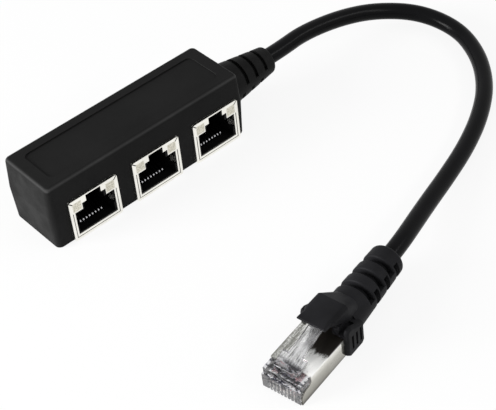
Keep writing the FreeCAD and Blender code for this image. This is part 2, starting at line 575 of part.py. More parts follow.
def make_plug_contacts():
    """Eight flat blades that stand in their slots, with the lower edge just inside the plug's underside."""
    blades = body("plug_contacts")
    foot = sketch_on(blades, "blade_outline", "XY_Plane", "dim.plug_sheet + dim.blade_sink")
    rectangle(foot, "dim.blade_front", "-3.5 * dim.contact_pitch - dim.blade_thick / 2",
              "dim.blade_back", "-3.5 * dim.contact_pitch + dim.blade_thick / 2")
    blade = extrude(blades, "blade", foot, "dim.blade_top - dim.plug_sheet - dim.blade_sink")
    row_of(blades, "blade_row", blade, "Y_Axis", "7 * dim.contact_pitch", 8)
    return blades


def make_plug_wires():
    """Eight insulated conductors side by side over the blades."""
    wires = body("plug_wires")
    section = sketch_on(wires, "wire_section", "YZ_Plane", "dim.wire_start")
    disc(section, "-3.5 * dim.contact_pitch", "dim.wire_height", "dim.wire_diameter / 2")
    wire = extrude(wires, "wire", section, "dim.plug_length - dim.wire_start")
    row_of(wires, "wire_row", wire, "Y_Axis", "7 * dim.contact_pitch", 8)
    return wires


def make_plug_shield():
    """Sheet sleeve round the plug, its sides swept forward beside the nose and its belly cut back."""
    shield = body("plug_shield")
    half = "dim.plug_width / 2"
    tube = sketch_on(shield, "sleeve_section", "YZ_Plane")
    rectangle(tube, "-" + half, "0", half, "dim.plug_height")
    rectangle(tube, "-" + half + " + dim.plug_sheet", "dim.plug_sheet", half + " - dim.plug_sheet",
              "dim.plug_height - dim.plug_sheet")
    extrude(shield, "sleeve", tube, "dim.plug_length")
    sweep = sketch_on(shield, "front_sweep", "XZ_Plane", half)
    front = "dim.shield_front"
    polygon(sweep, [("0", "0"), ("0.4", "0"), ("0.5", "dim.plug_height * 0.33"),
                    ("0.9", "dim.plug_height * 0.46"), ("1.8", "dim.plug_height * 0.54"),
                    (front + " - 0.8", "dim.plug_height * 0.59"), (front, "dim.plug_height * 0.7"),
                    (front, "dim.plug_height"), ("0", "dim.plug_height")])
    extrude(shield, "front_cut", sweep, "dim.plug_width", cut=True)
    belly = sketch_on(shield, "belly_outline", "XY_Plane", "dim.plug_sheet")
    rectangle(belly, "0", "-" + half + " + dim.plug_sheet", "dim.shield_belly", half + " - dim.plug_sheet")
    extrude(shield, "belly_cut", belly, "dim.plug_sheet", cut=True)
    return shield


def make_boot():
    """Boot in one moulding: grip round the plug's rear, hood over the latch and a neck on the cable."""
    boot = body("plug_boot")
    low = "dim.boot_axis - dim.boot_root / 2"
    crown = "dim.hood_height + dim.hood_crown"
    sections = []
    for name, spot, width, top, radius in (
            ("front", "dim.hood_front", "dim.hood_front_width", "dim.hood_height", "dim.hood_edge"),
            ("waist", "dim.hood_waist", "dim.hood_waist_width", crown,
             "(dim.hood_edge + dim.hood_round) / 2"),
            ("shoulder", "dim.hood_shoulder", "dim.hood_width", crown, "dim.hood_round"),
            ("back", "dim.hood_back", "dim.hood_width", "dim.hood_height", "dim.hood_round"),
            ("end", "dim.hood_end", "dim.hood_end_width", "dim.boot_axis + dim.hood_end_rise",
             "dim.hood_end_round")):
        section = sketch_on(boot, "hood_" + name, "YZ_Plane", spot)
        rounded_rectangle(section, "-%s / 2" % width, low, "%s / 2" % width, top, radius)
        section.Visibility = False
        sections.append(section)
    hood = boot.newObject("PartDesign::AdditiveLoft", "hood")
    hood.Profile = sections[0]
    hood.Sections = sections[1:]
    hood.Ruled = True
    inner = "dim.hood_back - dim.grip_round / 2"
    under = sketch_on(boot, "hood_underside", "XZ_Plane", "dim.hood_width")
    polygon(under, [("dim.hood_front - dim.hood_lip", "0"), (inner, "0"),
                    (inner, "dim.grip_height - dim.grip_round"), ("dim.hood_shoulder", "dim.hood_skirt"),
                    ("dim.hood_front", "dim.hood_height - dim.hood_lip"),
                    ("dim.hood_front - dim.hood_lip", "dim.hood_height - dim.hood_lip")])
    extrude(boot, "hood_hollow", under, "2 * dim.hood_width", cut=True)

    grip = sketch_on(boot, "grip_side", "XZ_Plane", "-dim.grip_width / 2")
    low = "-dim.grip_belly"
    polygon(grip, [("dim.grip_front + dim.grip_round", low), ("dim.grip_back - dim.grip_round", low),
                   ("dim.grip_back", low + " + dim.grip_round"),
                   ("dim.grip_back", "dim.grip_height - dim.grip_fall"),
                   ("dim.grip_front + 2 * dim.grip_round", "dim.grip_height"),
                   ("dim.grip_front + dim.grip_round / 2", "dim.grip_height"),
                   ("dim.grip_front", "dim.grip_height - dim.grip_round"),
                   ("dim.grip_front", low + " + dim.grip_round")])
    extrude(boot, "grip", grip, "dim.grip_width")
    side = number("dim.grip_width / 2")
    dress(boot, "Fillet", "grip_rounds", "dim.grip_round * 0.8",
          lambda e: lies(e, y=side) or lies(e, y=-side))
    gap = sketch_on(boot, "wing_gap_outline", "XY_Plane", "dim.grip_height")
    rectangle(gap, "dim.grip_front", "dim.hood_width / 2",
              "dim.hood_back", "dim.grip_width / 2 - dim.grip_wing")
    cut = extrude(boot, "wing_gap", gap, "dim.grip_height - dim.wing_gap_floor", cut=True)
    mirror(boot, "wing_gaps", [cut], "XZ_Plane")

    neck = sketch_on(boot, "neck_section", "XZ_Plane", **NECK)
    polygon(neck, [("dim.grip_back - dim.grip_round", "0"), ("dim.boot_end", "0"),
                   ("dim.boot_end", "dim.boot_tip"), ("dim.grip_back", "dim.boot_root"),
                   ("dim.grip_back - dim.grip_round", "dim.boot_root")])
    spin(boot, "neck", neck)
    tip = number("dim.boot_end")
    rim = number("dim.boot_tip")
    dress(boot, "Fillet", "tip_round", "dim.boot_tip_round",
          lambda e: e.BoundBox.XMin > tip - rim and abs(e.Length - 2 * math.pi * rim) < 0.01)

    mouth = sketch_on(boot, "hood_mouth", "XZ_Plane", "dim.hood_mouth_width / 2")
    polygon(mouth, [("dim.hood_front", "dim.plug_height"), ("dim.hood_wall", "dim.plug_height"),
                    ("dim.hood_wall", "dim.hood_height - 1.6 * dim.hood_lip"),
                    ("dim.hood_front", "dim.hood_height - dim.hood_lip")])
    extrude(boot, "mouth", mouth, "dim.hood_mouth_width", cut=True)
    seat = sketch_on(boot, "plug_socket", "YZ_Plane", "dim.grip_front + dim.plug_seat")
    rectangle(seat, "-dim.plug_width / 2", "0", "dim.plug_width / 2", "dim.plug_height")
    extrude(boot, "socket", seat, "dim.plug_seat", cut=True)

    ribs = sketch_on(boot, "grip_slots", "XZ_Plane", "dim.grip_width / 2")
    for index in range(3):
        centre = "dim.grip_slot_first + %d * dim.grip_slot_pitch" % index
        rectangle(ribs, centre + " - dim.grip_slot_width / 2", "dim.grip_slot_low",
                  centre + " + dim.grip_slot_width / 2", "dim.grip_slot_high")
    slots = extrude(boot, "slots_near", ribs, "dim.grip_slot_depth", cut=True)
    mirror(boot, "slots_both", [slots], "XZ_Plane")
    cut_half_slots(boot, "dim.boot_slot_first", "dim.boot_slot_pitch", "dim.boot_slot_width",
                   "dim.boot_slot_depth", "dim.boot_slot_angle",
                   ("dim.boot_root", "dim.boot_tip", "dim.grip_back", "dim.boot_end"),
                   "dim.boot_slot_pitch / 2", roll="dim.boot_slot_roll", **NECK)
    tip = number("dim.boot_tip")
    root = number("dim.boot_root")
    web = "dim.boot_slot_pitch / 2 - dim.boot_slot_width"
    dress(boot, "Fillet", "rib_rounds", "min(dim.rib_round; 0.7 * (" + web + "))",
          lambda e: hasattr(e.Curve, "Radius") and tip - 0.1 < e.Curve.Radius < root and e.Length > 2 * tip
          and e.BoundBox.ZMax > number("dim.boot_axis") + 0.9 * tip
          and e.BoundBox.XMin > number("dim.boot_slot_first - dim.boot_slot_width")
          and e.BoundBox.XMax < number("dim.boot_end") - 0.6)
    return boot


parts = [make_housing(), make_board(), make_leads()]
for index in range(3):
    suffix = "_%d" % (index + 1)
    centre = FIRST_JACK + " + %d * (%s) / 2" % (index, JACK_SPAN)
    for maker, name in ((make_shield, "jack_shield"), (make_insert, "jack_insert"),
                        (make_contacts, "jack_contacts")):
        piece = maker(name + suffix)
        place(piece, centre, "-(" + JACK_FACE + ")", "dim.jack_lift")
        parts.append(piece)
relief = make_relief()
place(relief, "0", "0", "dim.relief_axis")
parts.append(relief)

plug_pose = FreeCAD.Placement(V(number("dim.nose_x"), number("dim.nose_y"), number("dim.nose_z")),
                              FreeCAD.Rotation(number("dim.plug_yaw"), -number("dim.plug_tilt"), 0))
for maker in (make_plug_body, make_plug_contacts, make_plug_wires, make_plug_shield, make_boot):
    piece = maker()
    piece.Placement = plug_pose
    parts.append(piece)

cable_start = V(number(WALL + " + dim.relief_length"), 0, number("dim.relief_axis + dim.cable_rise"))
neck_start = V(number("dim.neck_pivot"), 0, number("dim.boot_axis"))
neck_run = FreeCAD.Rotation(number("dim.neck_bend"), 0, 0).multVec(V(1, 0, 0))
boot_end = plug_pose.multVec(neck_start + neck_run * number("dim.boot_end - dim.neck_pivot"))
parts.append(make_cable(cable_start, boot_end, plug_pose.Rotation.multVec(neck_run)))
doc.recompute()

for item in doc.Objects:
    if {"Invalid", "Error"} & set(item.State):
        raise RuntimeError("%s did not build: %s" % (item.Label, item.State))
os.makedirs("parts", exist_ok=True)
for piece in parts:
    shape = piece.Shape
    if shape.isNull() or not shape.isValid():
        raise RuntimeError("%s has no valid shape" % piece.Label)
    shape.exportStep("parts/%s.step" % piece.Label)
    print("%-16s solids %d faces %d volume %.2f"
          % (piece.Label, len(shape.Solids), len(shape.Faces), shape.Volume))
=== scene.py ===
import json
import math

import bpy
from mathutils import Matrix, Vector


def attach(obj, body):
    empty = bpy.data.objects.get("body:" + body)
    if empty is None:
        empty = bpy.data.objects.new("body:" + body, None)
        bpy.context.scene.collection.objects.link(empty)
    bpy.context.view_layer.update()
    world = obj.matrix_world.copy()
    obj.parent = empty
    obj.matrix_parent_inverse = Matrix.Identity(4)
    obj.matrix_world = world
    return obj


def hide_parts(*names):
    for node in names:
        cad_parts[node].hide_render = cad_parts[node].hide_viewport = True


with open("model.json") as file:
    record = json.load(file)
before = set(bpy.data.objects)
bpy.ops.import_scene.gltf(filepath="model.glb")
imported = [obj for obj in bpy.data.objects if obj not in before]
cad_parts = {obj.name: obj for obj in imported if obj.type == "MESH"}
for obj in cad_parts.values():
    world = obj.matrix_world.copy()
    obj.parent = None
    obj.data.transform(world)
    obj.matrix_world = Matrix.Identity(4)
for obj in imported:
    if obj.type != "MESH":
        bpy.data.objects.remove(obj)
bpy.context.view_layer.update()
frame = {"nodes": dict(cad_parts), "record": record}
nodes = frame["nodes"]

MM = 0.001
mounts = {mount["name"]: mount for mount in frame["record"]["mounts"]}
sockets = [mounts["socket_%d_face" % index]["pos_m"][0] for index in (1, 2, 3)]

# The plug's axes on the table: heading runs back along the cable, and across to the right of that.
plug_nose = Vector(mounts["plug_nose"]["pos_m"])
heading = -Vector(mounts["plug_nose"]["axis"])
heading.z = 0.0
heading.normalize()
across = Vector((heading.y, -heading.x, 0.0))
YAW = math.atan2(heading.y, heading.x)

WHITE = (1.0, 1.0, 1.0, 1.0)
BLACK = (0.0, 0.0, 0.0, 1.0)


# Node helpers
def grey(value):
    return (value, value, value, 1.0)


def times(color, factor):
    """A colour made lighter or darker."""
    return tuple(part * factor for part in color[:3]) + (1.0,)


class Graph:
    """A node tree filled in short calls: a value that is a socket is linked, and any other is set."""

    def __init__(self, owner, output="ShaderNodeOutputMaterial"):
        owner.use_nodes = True
        self.owner = owner
        self.tree = owner.node_tree
        self.tree.nodes.clear()
        self.output = self.tree.nodes.new(output)

    def put(self, socket, value):
        if isinstance(value, bpy.types.NodeSocket):
            self.tree.links.new(value, socket)
        else:
            socket.default_value = value

    def add(self, kind, **values):
        """A node with its settings and inputs: an underscore stands for a space in an input's name."""
        node = self.tree.nodes.new(kind)
        for key, value in values.items():
            if hasattr(node, key):
                setattr(node, key, value)
            else:
                self.put(node.inputs[key.replace("_", " ")], value)
        return node

    def place(self, kind="Object"):
        return self.add("ShaderNodeTexCoord").outputs[kind]

    def parts(self, vector):
        return self.add("ShaderNodeSeparateXYZ", Vector=vector).outputs

    def vector(self, operation, *values):
        node = self.add("ShaderNodeVectorMath", operation=operation)
        for socket, value in zip(node.inputs, values):
            self.put(socket, value)
        return node.outputs

    def stretch(self, vector, scale):
        return self.vector("MULTIPLY", vector, scale)["Vector"]

    def along(self, vector, axis):
        """How far a place lies along an axis."""
        return self.vector("DOT_PRODUCT", vector, axis)["Value"]

    def math(self, operation, *values):
        node = self.add("ShaderNodeMath", operation=operation)
        for socket, value in zip(node.inputs, values):
            self.put(socket, value)
        return node.outputs["Value"]

    def product(self, first, *others):
        """Numbers multiplied together."""
        for other in others:
            first = self.math("MULTIPLY", first, other)
        return first

    def fade(self, value, start, end, first=0.0, last=1.0):
        """A number that goes from first to last while the value goes from start to end."""
        node = self.add("ShaderNodeMapRange", Value=value, From_Min=start, From_Max=end,
                        To_Min=first, To_Max=last)
        return node.outputs["Result"]

    def band(self, value, low, high, soft):
        """1 between two values and 0 outside them, with soft ends."""
        rise = self.fade(value, low - soft, low + soft)
        fall = self.fade(value, high - soft, high + soft, 1.0, 0.0)
        return self.product(rise, fall)

    def spread(self, noise, low, high):
        """A noise from 0 to 1 spread from low to high."""
        return self.fade(noise, 0.0, 1.0, low, high)

    def noise(self, vector, scale=1.0, detail=2.0, roughness=0.5, distortion=0.0):
        node = self.add("ShaderNodeTexNoise", Vector=vector, Scale=scale, Detail=detail,
                        Roughness=roughness, Distortion=distortion)
        return node.outputs["Fac"]

    def ramp(self, factor, stops, interpolation="LINEAR"):
        """A colour by a factor, through stops that are pairs of a place and a colour."""
        node = self.add("ShaderNodeValToRGB", Fac=factor)
        node.color_ramp.interpolation = interpolation
        while len(node.color_ramp.elements) < len(stops):
            node.color_ramp.elements.new(0.5)
        for element, (place, color) in zip(node.color_ramp.elements, stops):
            element.position = place
            element.color = color
        return node.outputs["Color"]

    def mix(self, factor, first, second, blend_type="MIX"):
        node = self.add("ShaderNodeMixRGB", blend_type=blend_type, Fac=factor, Color1=first, Color2=second)
        return node.outputs["Color"]

    def shaded(self, color, factor):
        """A colour multiplied by another, or by a number."""
        return self.mix(1.0, color, factor, "MULTIPLY")

    def bump(self, height, strength, distance):
        node = self.add("ShaderNodeBump", Strength=strength, Distance=distance, Height=height)
        return node.outputs["Normal"]

    def principled(self, **values):
        shader = self.add("ShaderNodeBsdfPrincipled", **values)
        self.put(self.output.inputs["Surface"], shader.outputs["BSDF"])

    def blend(self, factor, first, second):
        """Two shaders, from the first at 0 to the second at 1."""
        node = self.add("ShaderNodeMixShader", Fac=factor)
        self.put(node.inputs[1], first)
        self.put(node.inputs[2], second)
        self.put(self.output.inputs["Surface"], node.outputs["Shader"])


def material_graph(name):
    return Graph(bpy.data.materials.new(name))


def plug_turn(graph, place):
    """The place turned so that X runs along the plug."""
    return graph.add("ShaderNodeMapping", Vector=place, Rotation=(0.0, 0.0, -YAW)).outputs["Vector"]


def plug_fade(graph, value, axis, span, first=0.0, last=1.0):
    """A fade over a span that is measured from the plug's nose along one of the plug's axes."""
    start, end = (plug_nose.dot(axis) + place for place in span)
    return graph.fade(value, start, end, first, last)


# Plastics
TONE_SCALE = 60.0
CLOUD_SCALE = 170.0
GLOSS_SPREAD = 0.06
GRAIN_STRENGTH = 0.5
# Painted sheen: lighter clouds on the block's two ends
END_SHEEN_TONE = 1.7
END_SHEEN_CLOUDS = [(0.38, BLACK), (0.66, WHITE)]
# A painted highlight on the edges, by the largest part of the normal, which is 1 on a level or upright
# face and smaller on an edge
EDGE_HIGHLIGHT = [(0.72, WHITE), (0.9, grey(0.35)), (0.97, BLACK)]
HIGHLIGHT_PATCHES = (0.5, 1.4)
# The painted highlight keeps to upper edges and the painted sheen to the block's ends: by the normal's
# part upwards, and by its part along the block
UPPER_SIDE = [(0.12, BLACK), (0.4, WHITE)]
BLOCK_END = [(0.85, BLACK), (0.98, WHITE)]


def painted_highlights(graph, place, slow, tone, base, edge):
    """Painted highlights on the upper edges, broken into patches, and painted sheen in lighter clouds on
    the block's two ends.
    """
    facing = graph.parts(graph.vector("ABSOLUTE", graph.place("Normal"))["Vector"])
    largest = graph.math("MAXIMUM", graph.math("MAXIMUM", facing["X"], facing["Y"]), facing["Z"])
    # Painted highlight on the upper edges, lighter in patches
    crown = graph.product(graph.ramp(largest, EDGE_HIGHLIGHT), graph.ramp(facing["Z"], UPPER_SIDE))
    patchy = graph.product(crown, graph.spread(slow, *HIGHLIGHT_PATCHES))
    highlighted = graph.mix(patchy, tone, times(base, 1 + edge))
    # Painted sheen in lighter clouds on the block's two ends
    cloudy = graph.ramp(graph.noise(place, CLOUD_SCALE, detail=3.0, roughness=0.6), END_SHEEN_CLOUDS)
    end_sheen = graph.product(cloudy, graph.ramp(facing["X"], BLOCK_END))
    return graph.mix(end_sheen, highlighted, times(base, END_SHEEN_TONE))


def moulded(name, base, rough, grain_scale, grain_depth, specular, wear=0.25, edge=0.0):
    """Moulded plastic: fine spark-eroded grain, slow tone changes and, where an edge amount is set,
    painted highlights on the upper edges and painted sheen on the block's ends.
    """
    graph = material_graph(name)
    place = graph.place()
    slow = graph.noise(place, TONE_SCALE, detail=3.0, roughness=0.6)
    fine = graph.noise(place, grain_scale, detail=4.0, roughness=0.65)
    tone = graph.ramp(slow, [(0.3, times(base, 1 - wear)), (0.7, times(base, 1 + wear))])
    if edge:
        tone = painted_highlights(graph, place, slow, tone, base, edge)
    graph.principled(Base_Color=tone, Specular_IOR_Level=specular,
                     Roughness=graph.spread(fine, rough - GLOSS_SPREAD, rough + GLOSS_SPREAD),
                     Normal=graph.bump(fine, GRAIN_STRENGTH, grain_depth))
    return graph.owner


# Plated metals
STREAK_STRETCH = 0.04
PATCH_SCALE = 180.0
PATCH_TONE = 0.92
PLATE_SPREAD = 0.08
PLATE_STRENGTH = 0.25
PLATE_DEPTH = 0.02 * MM


def plated(name, base, rough, streak, lines_along, shades=()):
    """Plate with faint drawing lines and a few darker patches, toned down by each shade in turn."""
    graph = material_graph(name)
    place = graph.place()
    scale = [streak * STREAK_STRETCH if axis == lines_along else streak for axis in "XYZ"]
    stretched = graph.add("ShaderNodeMapping", Vector=place, Scale=scale).outputs["Vector"]
    lines = graph.noise(stretched, detail=3.0, roughness=0.6)
    tone = graph.ramp(graph.noise(place, PATCH_SCALE), [(0.35, times(base, PATCH_TONE)), (0.65, base)])
    for shade in shades:
        tone = graph.shaded(tone, shade(graph, place))
    graph.principled(Metallic=1.0, Base_Color=tone,
                     Roughness=graph.spread(lines, rough - PLATE_SPREAD, rough + PLATE_SPREAD),
                     Normal=graph.bump(lines, PLATE_STRENGTH, PLATE_DEPTH))
    return graph.owner


CONTACT_SHADE_DEPTH = -7.5 * MM
CONTACT_SHADE_SOFT = 0.5 * MM
CONTACT_SHADE_TONE = 0.05


def contact_shade(graph, place):
    """A contact stays bright at its front bend and falls off behind it into the shade of its socket."""
    depth = graph.parts(place)["Y"]
    return graph.fade(depth, CONTACT_SHADE_DEPTH, CONTACT_SHADE_DEPTH + CONTACT_SHADE_SOFT, 1.0,
                      CONTACT_SHADE_TONE)


CREASE_REACH = 0.4 * MM
CREASE_TONES = [(0.55, grey(0.25)), (0.92, WHITE)]


def crease_shade(graph, place):
    """Painted shade in the folds and creases of a sheet part."""
    fold = graph.add("ShaderNodeAmbientOcclusion", samples=8, only_local=True, Distance=CREASE_REACH)
    return graph.ramp(fold.outputs["AO"], CREASE_TONES)


# A jack's dull panels, from its middle line and from the table
PANEL_INNER = 4.1 * MM
PANEL_OUTER = 6.9 * MM
PANEL_LOW = 10.1 * MM
PANEL_HIGH = 13.0 * MM
PANEL_SOFT = 0.15 * MM
PANEL_GRAIN = 2200.0
PANEL_TONES = [(0.35, (0.5, 0.49, 0.43, 1)), (0.65, (0.85, 0.83, 0.77, 1))]


def panel_shade(graph, place):
    """Grainy, duller panels at the upper corners of each jack's front plate."""
    spot = graph.parts(place)
    left_split = (sockets[0] + sockets[1]) / 2
    right_split = (sockets[1] + sockets[2]) / 2
    in_one_jack = graph.math("WRAP", spot["X"], right_split, left_split)
    away = graph.math("ABSOLUTE", graph.math("SUBTRACT", in_one_jack, sockets[1]))
    beside = graph.band(away, PANEL_INNER, PANEL_OUTER, PANEL_SOFT)
    level = graph.band(spot["Z"], PANEL_LOW, PANEL_HIGH, PANEL_SOFT)
    dull = graph.ramp(graph.noise(place, PANEL_GRAIN), PANEL_TONES)
    return graph.mix(graph.product(beside, level), WHITE, dull)


# The plug
CLEAR_TINT = (0.95, 0.95, 0.97, 1.0)
CLEAR_RIM = (0.3, 0.3, 0.32, 1)
FLOW_STRETCH = (800.0, 330.0, 900.0)
DRAWN_STRETCH = (150.0, 1300.0, 200.0)
# Black lines, painted grey shadows, clear plastic and painted pink glints of the conductors
FLOW_MARKS_AND_GLINTS = [(0.445, (0.01, 0.01, 0.015, 1)), (0.475, (0.5, 0.5, 0.56, 1)), (0.5, CLEAR_TINT),
              (0.6, CLEAR_TINT), (0.66, (0.9, 0.62, 0.64, 1))]
DRAWN_MARKS = [(0.34, grey(0.1)), (0.4, grey(0.8)), (0.45, CLEAR_TINT)]
# The flow marks, with their painted shadows and glints, fade out over the first span, back from the nose,
# and are faint below the second one
MARKS_BACK = (3.6 * MM, 5.2 * MM)
MARKS_UP = (2.0 * MM, 3.2 * MM)
FAINT_MARKS = 0.12


def clear_polycarbonate():
    """Clear plastic: flow marks with painted shadows and glints in the upper nose, fine lines elsewhere,
    painted darker where seen edge-on.
    """
    graph = material_graph("clear_plastic")
    place = graph.place()
    turned = plug_turn(graph, place)
    flow = graph.noise(graph.stretch(turned, FLOW_STRETCH), detail=3.0, roughness=0.6, distortion=0.5)
    # Painted shade: darker where the plastic is seen edge-on
    facing = graph.add("ShaderNodeLayerWeight", Blend=0.5).outputs["Facing"]
    rim = graph.ramp(facing, [(0.45, WHITE), (0.8, CLEAR_RIM)])
    drawn = graph.noise(graph.stretch(turned, DRAWN_STRETCH), detail=3.0, roughness=0.6)
    lines = graph.ramp(drawn, DRAWN_MARKS)
    # Painted shadows and glints among the flow marks
    marks_and_glints = graph.ramp(flow, FLOW_MARKS_AND_GLINTS)
    nose = plug_fade(graph, graph.along(place, heading), heading, MARKS_BACK, 1.0, 0.0)
    above = graph.fade(graph.parts(place)["Z"], *MARKS_UP, FAINT_MARKS, 1.0)
    inside = graph.mix(graph.product(nose, above), lines, marks_and_glints)
    graph.principled(IOR=1.58, Transmission_Weight=0.9, Base_Color=graph.shaded(rim, inside),
                     Roughness=graph.spread(flow, low=0.02, high=0.13),
                     Normal=graph.bump(flow, strength=0.35, distance=0.06 * MM))
    return graph.owner


ROLLING_STRETCH = (90.0, 1300.0, 1300.0)
SPECK_SCALE = 2600.0
SPECK_SHARE = 0.5
PLATE_TONES = [(0.34, (0.22, 0.22, 0.2, 1)), (0.5, (0.62, 0.62, 0.6, 1)), (0.66, (0.98, 0.98, 0.96, 1))]
# Painted shade on the can's walls, darker towards the bottom: by the height on the can, as a share of the
# wall's span
WALL_SHADE_TONES = [(0.0, (0.08, 0.075, 0.065, 1)), (0.2, (0.3, 0.29, 0.26, 1)), (0.6, (0.5, 0.49, 0.45, 1)),
              (0.86, (0.85, 0.84, 0.8, 1)), (0.93, WHITE)]
WALL_SPAN = (0.3 * MM, 7.2 * MM)
TOP_SHARE = (0.9, 0.97)
# Painted reflection: the plate brightens to the right, by what is added to the place on its ramp of tones
REFLECTION_SWEEP_SIDE = (-4.5 * MM, 2.0 * MM)
REFLECTION_SWEEP_TONE = (-0.14, 0.26)
# A dark painted reflection of the hood starts over these spans, back from the nose and to the right, and
# streaks shift its front edge
HOOD_REFLECTION_BACK = (12.1 * MM, 13.5 * MM)
HOOD_REFLECTION_SIDE = (-1.5 * MM, -0.5 * MM)
HOOD_REFLECTION_RAGGED = 4.2 * MM
HOOD_REFLECTION_TONE = (0.03, 0.026, 0.022, 1)
HOOD_REFLECTION_MATT = 0.3
# The plate is scratched to a matt finish up to this span, in front of the hood
SCRATCHED_BACK = (11.0 * MM, 12.2 * MM)
SCRATCHED_MATT = 0.3


def plug_nickel():
    """Nickel plate of the plug's can: a streaked, bright top that brightens further to the right as
    painted reflection, a dark painted reflection of the hood by the hood, and greyer walls in painted
    shade, darker towards the bottom.
    """
    graph = material_graph("plug_nickel")
    place = graph.place()
    back = graph.along(place, heading)
    side = graph.along(place, across)
    level = graph.fade(graph.parts(place)["Z"], *WALL_SPAN)

    stretched = graph.stretch(plug_turn(graph, place), ROLLING_STRETCH)
    streaks = graph.noise(stretched, detail=4.0, roughness=0.65)
    speck = graph.noise(place, SPECK_SCALE)
    rolled = graph.math("ADD", streaks, graph.math("MULTIPLY_ADD", speck, SPECK_SHARE, -SPECK_SHARE / 2))
    reflection_sweep = plug_fade(graph, side, across, REFLECTION_SWEEP_SIDE, *REFLECTION_SWEEP_TONE)
    tone = graph.ramp(graph.math("ADD", rolled, reflection_sweep), PLATE_TONES)
    # Painted shade on the walls, darker towards the bottom
    plate = graph.shaded(tone, graph.ramp(level, WALL_SHADE_TONES))

    # Painted reflection of the hood, dark and a little rougher, on the plate by the hood's mouth
    ragged = graph.math("MULTIPLY_ADD", rolled, HOOD_REFLECTION_RAGGED, back)
    mouth = plug_fade(graph, ragged, heading, HOOD_REFLECTION_BACK)
    right = plug_fade(graph, side, across, HOOD_REFLECTION_SIDE)
    hood_reflection = graph.product(mouth, right, graph.fade(level, *TOP_SHARE))

    scratched = plug_fade(graph, back, heading, SCRATCHED_BACK, SCRATCHED_MATT, 0.0)
    rough = graph.math("ADD", graph.spread(speck, low=0.05, high=0.16), scratched)
    graph.principled(Metallic=0.78, Base_Color=graph.mix(hood_reflection, plate, HOOD_REFLECTION_TONE),
                     Roughness=graph.math("MULTIPLY_ADD", hood_reflection, HOOD_REFLECTION_MATT, rough),
                     Normal=graph.bump(streaks, strength=0.3, distance=0.03 * MM))
    return graph.owner


# Conductors and board
# The colours are dulled, as they look through the clear nose
PAIRS = [(0.8, 0.5, 0.5, 1), (0.75, 0.33, 0.35, 1), (0.55, 0.52, 0.55, 1), (0.16, 0.16, 0.24, 1),
         (0.5, 0.5, 0.6, 1), (0.2, 0.22, 0.22, 1), (0.72, 0.45, 0.45, 1), (0.55, 0.25, 0.25, 1)]
CONDUCTORS = 8
PLUG_PITCH = 1.016 * MM
LEAD_PITCH = 1.1 * MM


def wires(name, axis, middle, pitch, colors):
    """Insulated conductors side by side: one colour each, by their place across the row."""
    graph = material_graph(name)
    place = graph.place()
    half_row = pitch * CONDUCTORS / 2
    row = graph.fade(graph.along(place, axis), middle - half_row, middle + half_row)
    stops = [(index / CONDUCTORS, color) for index, color in enumerate(colors)]
    fine = graph.noise(place, scale=2500.0)
    graph.principled(Specular_IOR_Level=0.4, Base_Color=graph.ramp(row, stops, "CONSTANT"),
                     Roughness=graph.spread(fine, low=0.35, high=0.55))
    return graph.owner


def board_mask():
    """Green solder mask with the weave of the board under it."""
    graph = material_graph("board_mask")
    weave = graph.noise(graph.place(), scale=900.0, detail=3.0)
    tone = graph.ramp(weave, [(0.35, (0.02, 0.12, 0.05, 1)), (0.65, (0.03, 0.17, 0.07, 1))])
    graph.principled(Roughness=0.35, Base_Color=tone)
    return graph.owner


# Materials on the pieces
housing_plastic = moulded("housing_plastic", grey(0.0145), rough=0.6, grain_scale=2600.0,
                          grain_depth=0.05 * MM, specular=0.025, wear=0.12, edge=2.5)
relief_plastic = moulded("relief_plastic", grey(0.0115), rough=0.5, grain_scale=2200.0,
                         grain_depth=0.04 * MM, specular=0.04)
boot_plastic = moulded("boot_plastic", (0.0143, 0.0143, 0.0158, 1.0), rough=0.5, grain_scale=1800.0,
                       grain_depth=0.04 * MM, specular=0.045, wear=0.5)
jacket_plastic = moulded("jacket_plastic", (0.0045, 0.0045, 0.005, 1.0), rough=0.24, grain_scale=1500.0,
                         grain_depth=0.03 * MM, specular=0.055)
insert_plastic = moulded("insert_plastic", grey(0.003), rough=0.5, grain_scale=2000.0,
                         grain_depth=0.02 * MM, specular=0.1)
jack_nickel = plated("jack_nickel", (0.98, 0.965, 0.9, 1.0), rough=0.28, streak=900.0, lines_along="X",
                     shades=(crease_shade, panel_shade))
gold_plate = plated("gold_plate", (0.78, 0.72, 0.6, 1.0), rough=0.3, streak=1600.0, lines_along="Y")
# Painted shade: the jack contacts are dark grey for the shade inside their sockets, and darker still
# behind their front bends
spring_gold_in_shade = plated("spring_gold_in_shade", (0.32, 0.32, 0.33, 1.0), rough=0.35, streak=1600.0, lines_along="Y",
                     shades=(contact_shade,))
plug_wire_colors = wires("plug_wire_colors", across, plug_nose.dot(across), PLUG_PITCH, PAIRS[::-1])
lead_colors = wires("lead_colors", Vector((0, 1, 0)), 0.0, LEAD_PITCH, PAIRS)

finish = {"housing": housing_plastic, "circuit_board": board_mask(), "board_leads": lead_colors,
          "strain_relief": relief_plastic, "cable": jacket_plastic, "plug_boot": boot_plastic,
          "plug_shield": plug_nickel(), "plug_body": clear_polycarbonate(), "plug_contacts": gold_plate,
          "plug_wires": plug_wire_colors}
for index in (1, 2, 3):
    finish["jack_shield_%d" % index] = jack_nickel
    finish["jack_insert_%d" % index] = insert_plastic
    finish["jack_contacts_%d" % index] = spring_gold_in_shade
for name, material in finish.items():
    mesh = nodes[name].data
    mesh.materials.clear()
    mesh.materials.append(material)


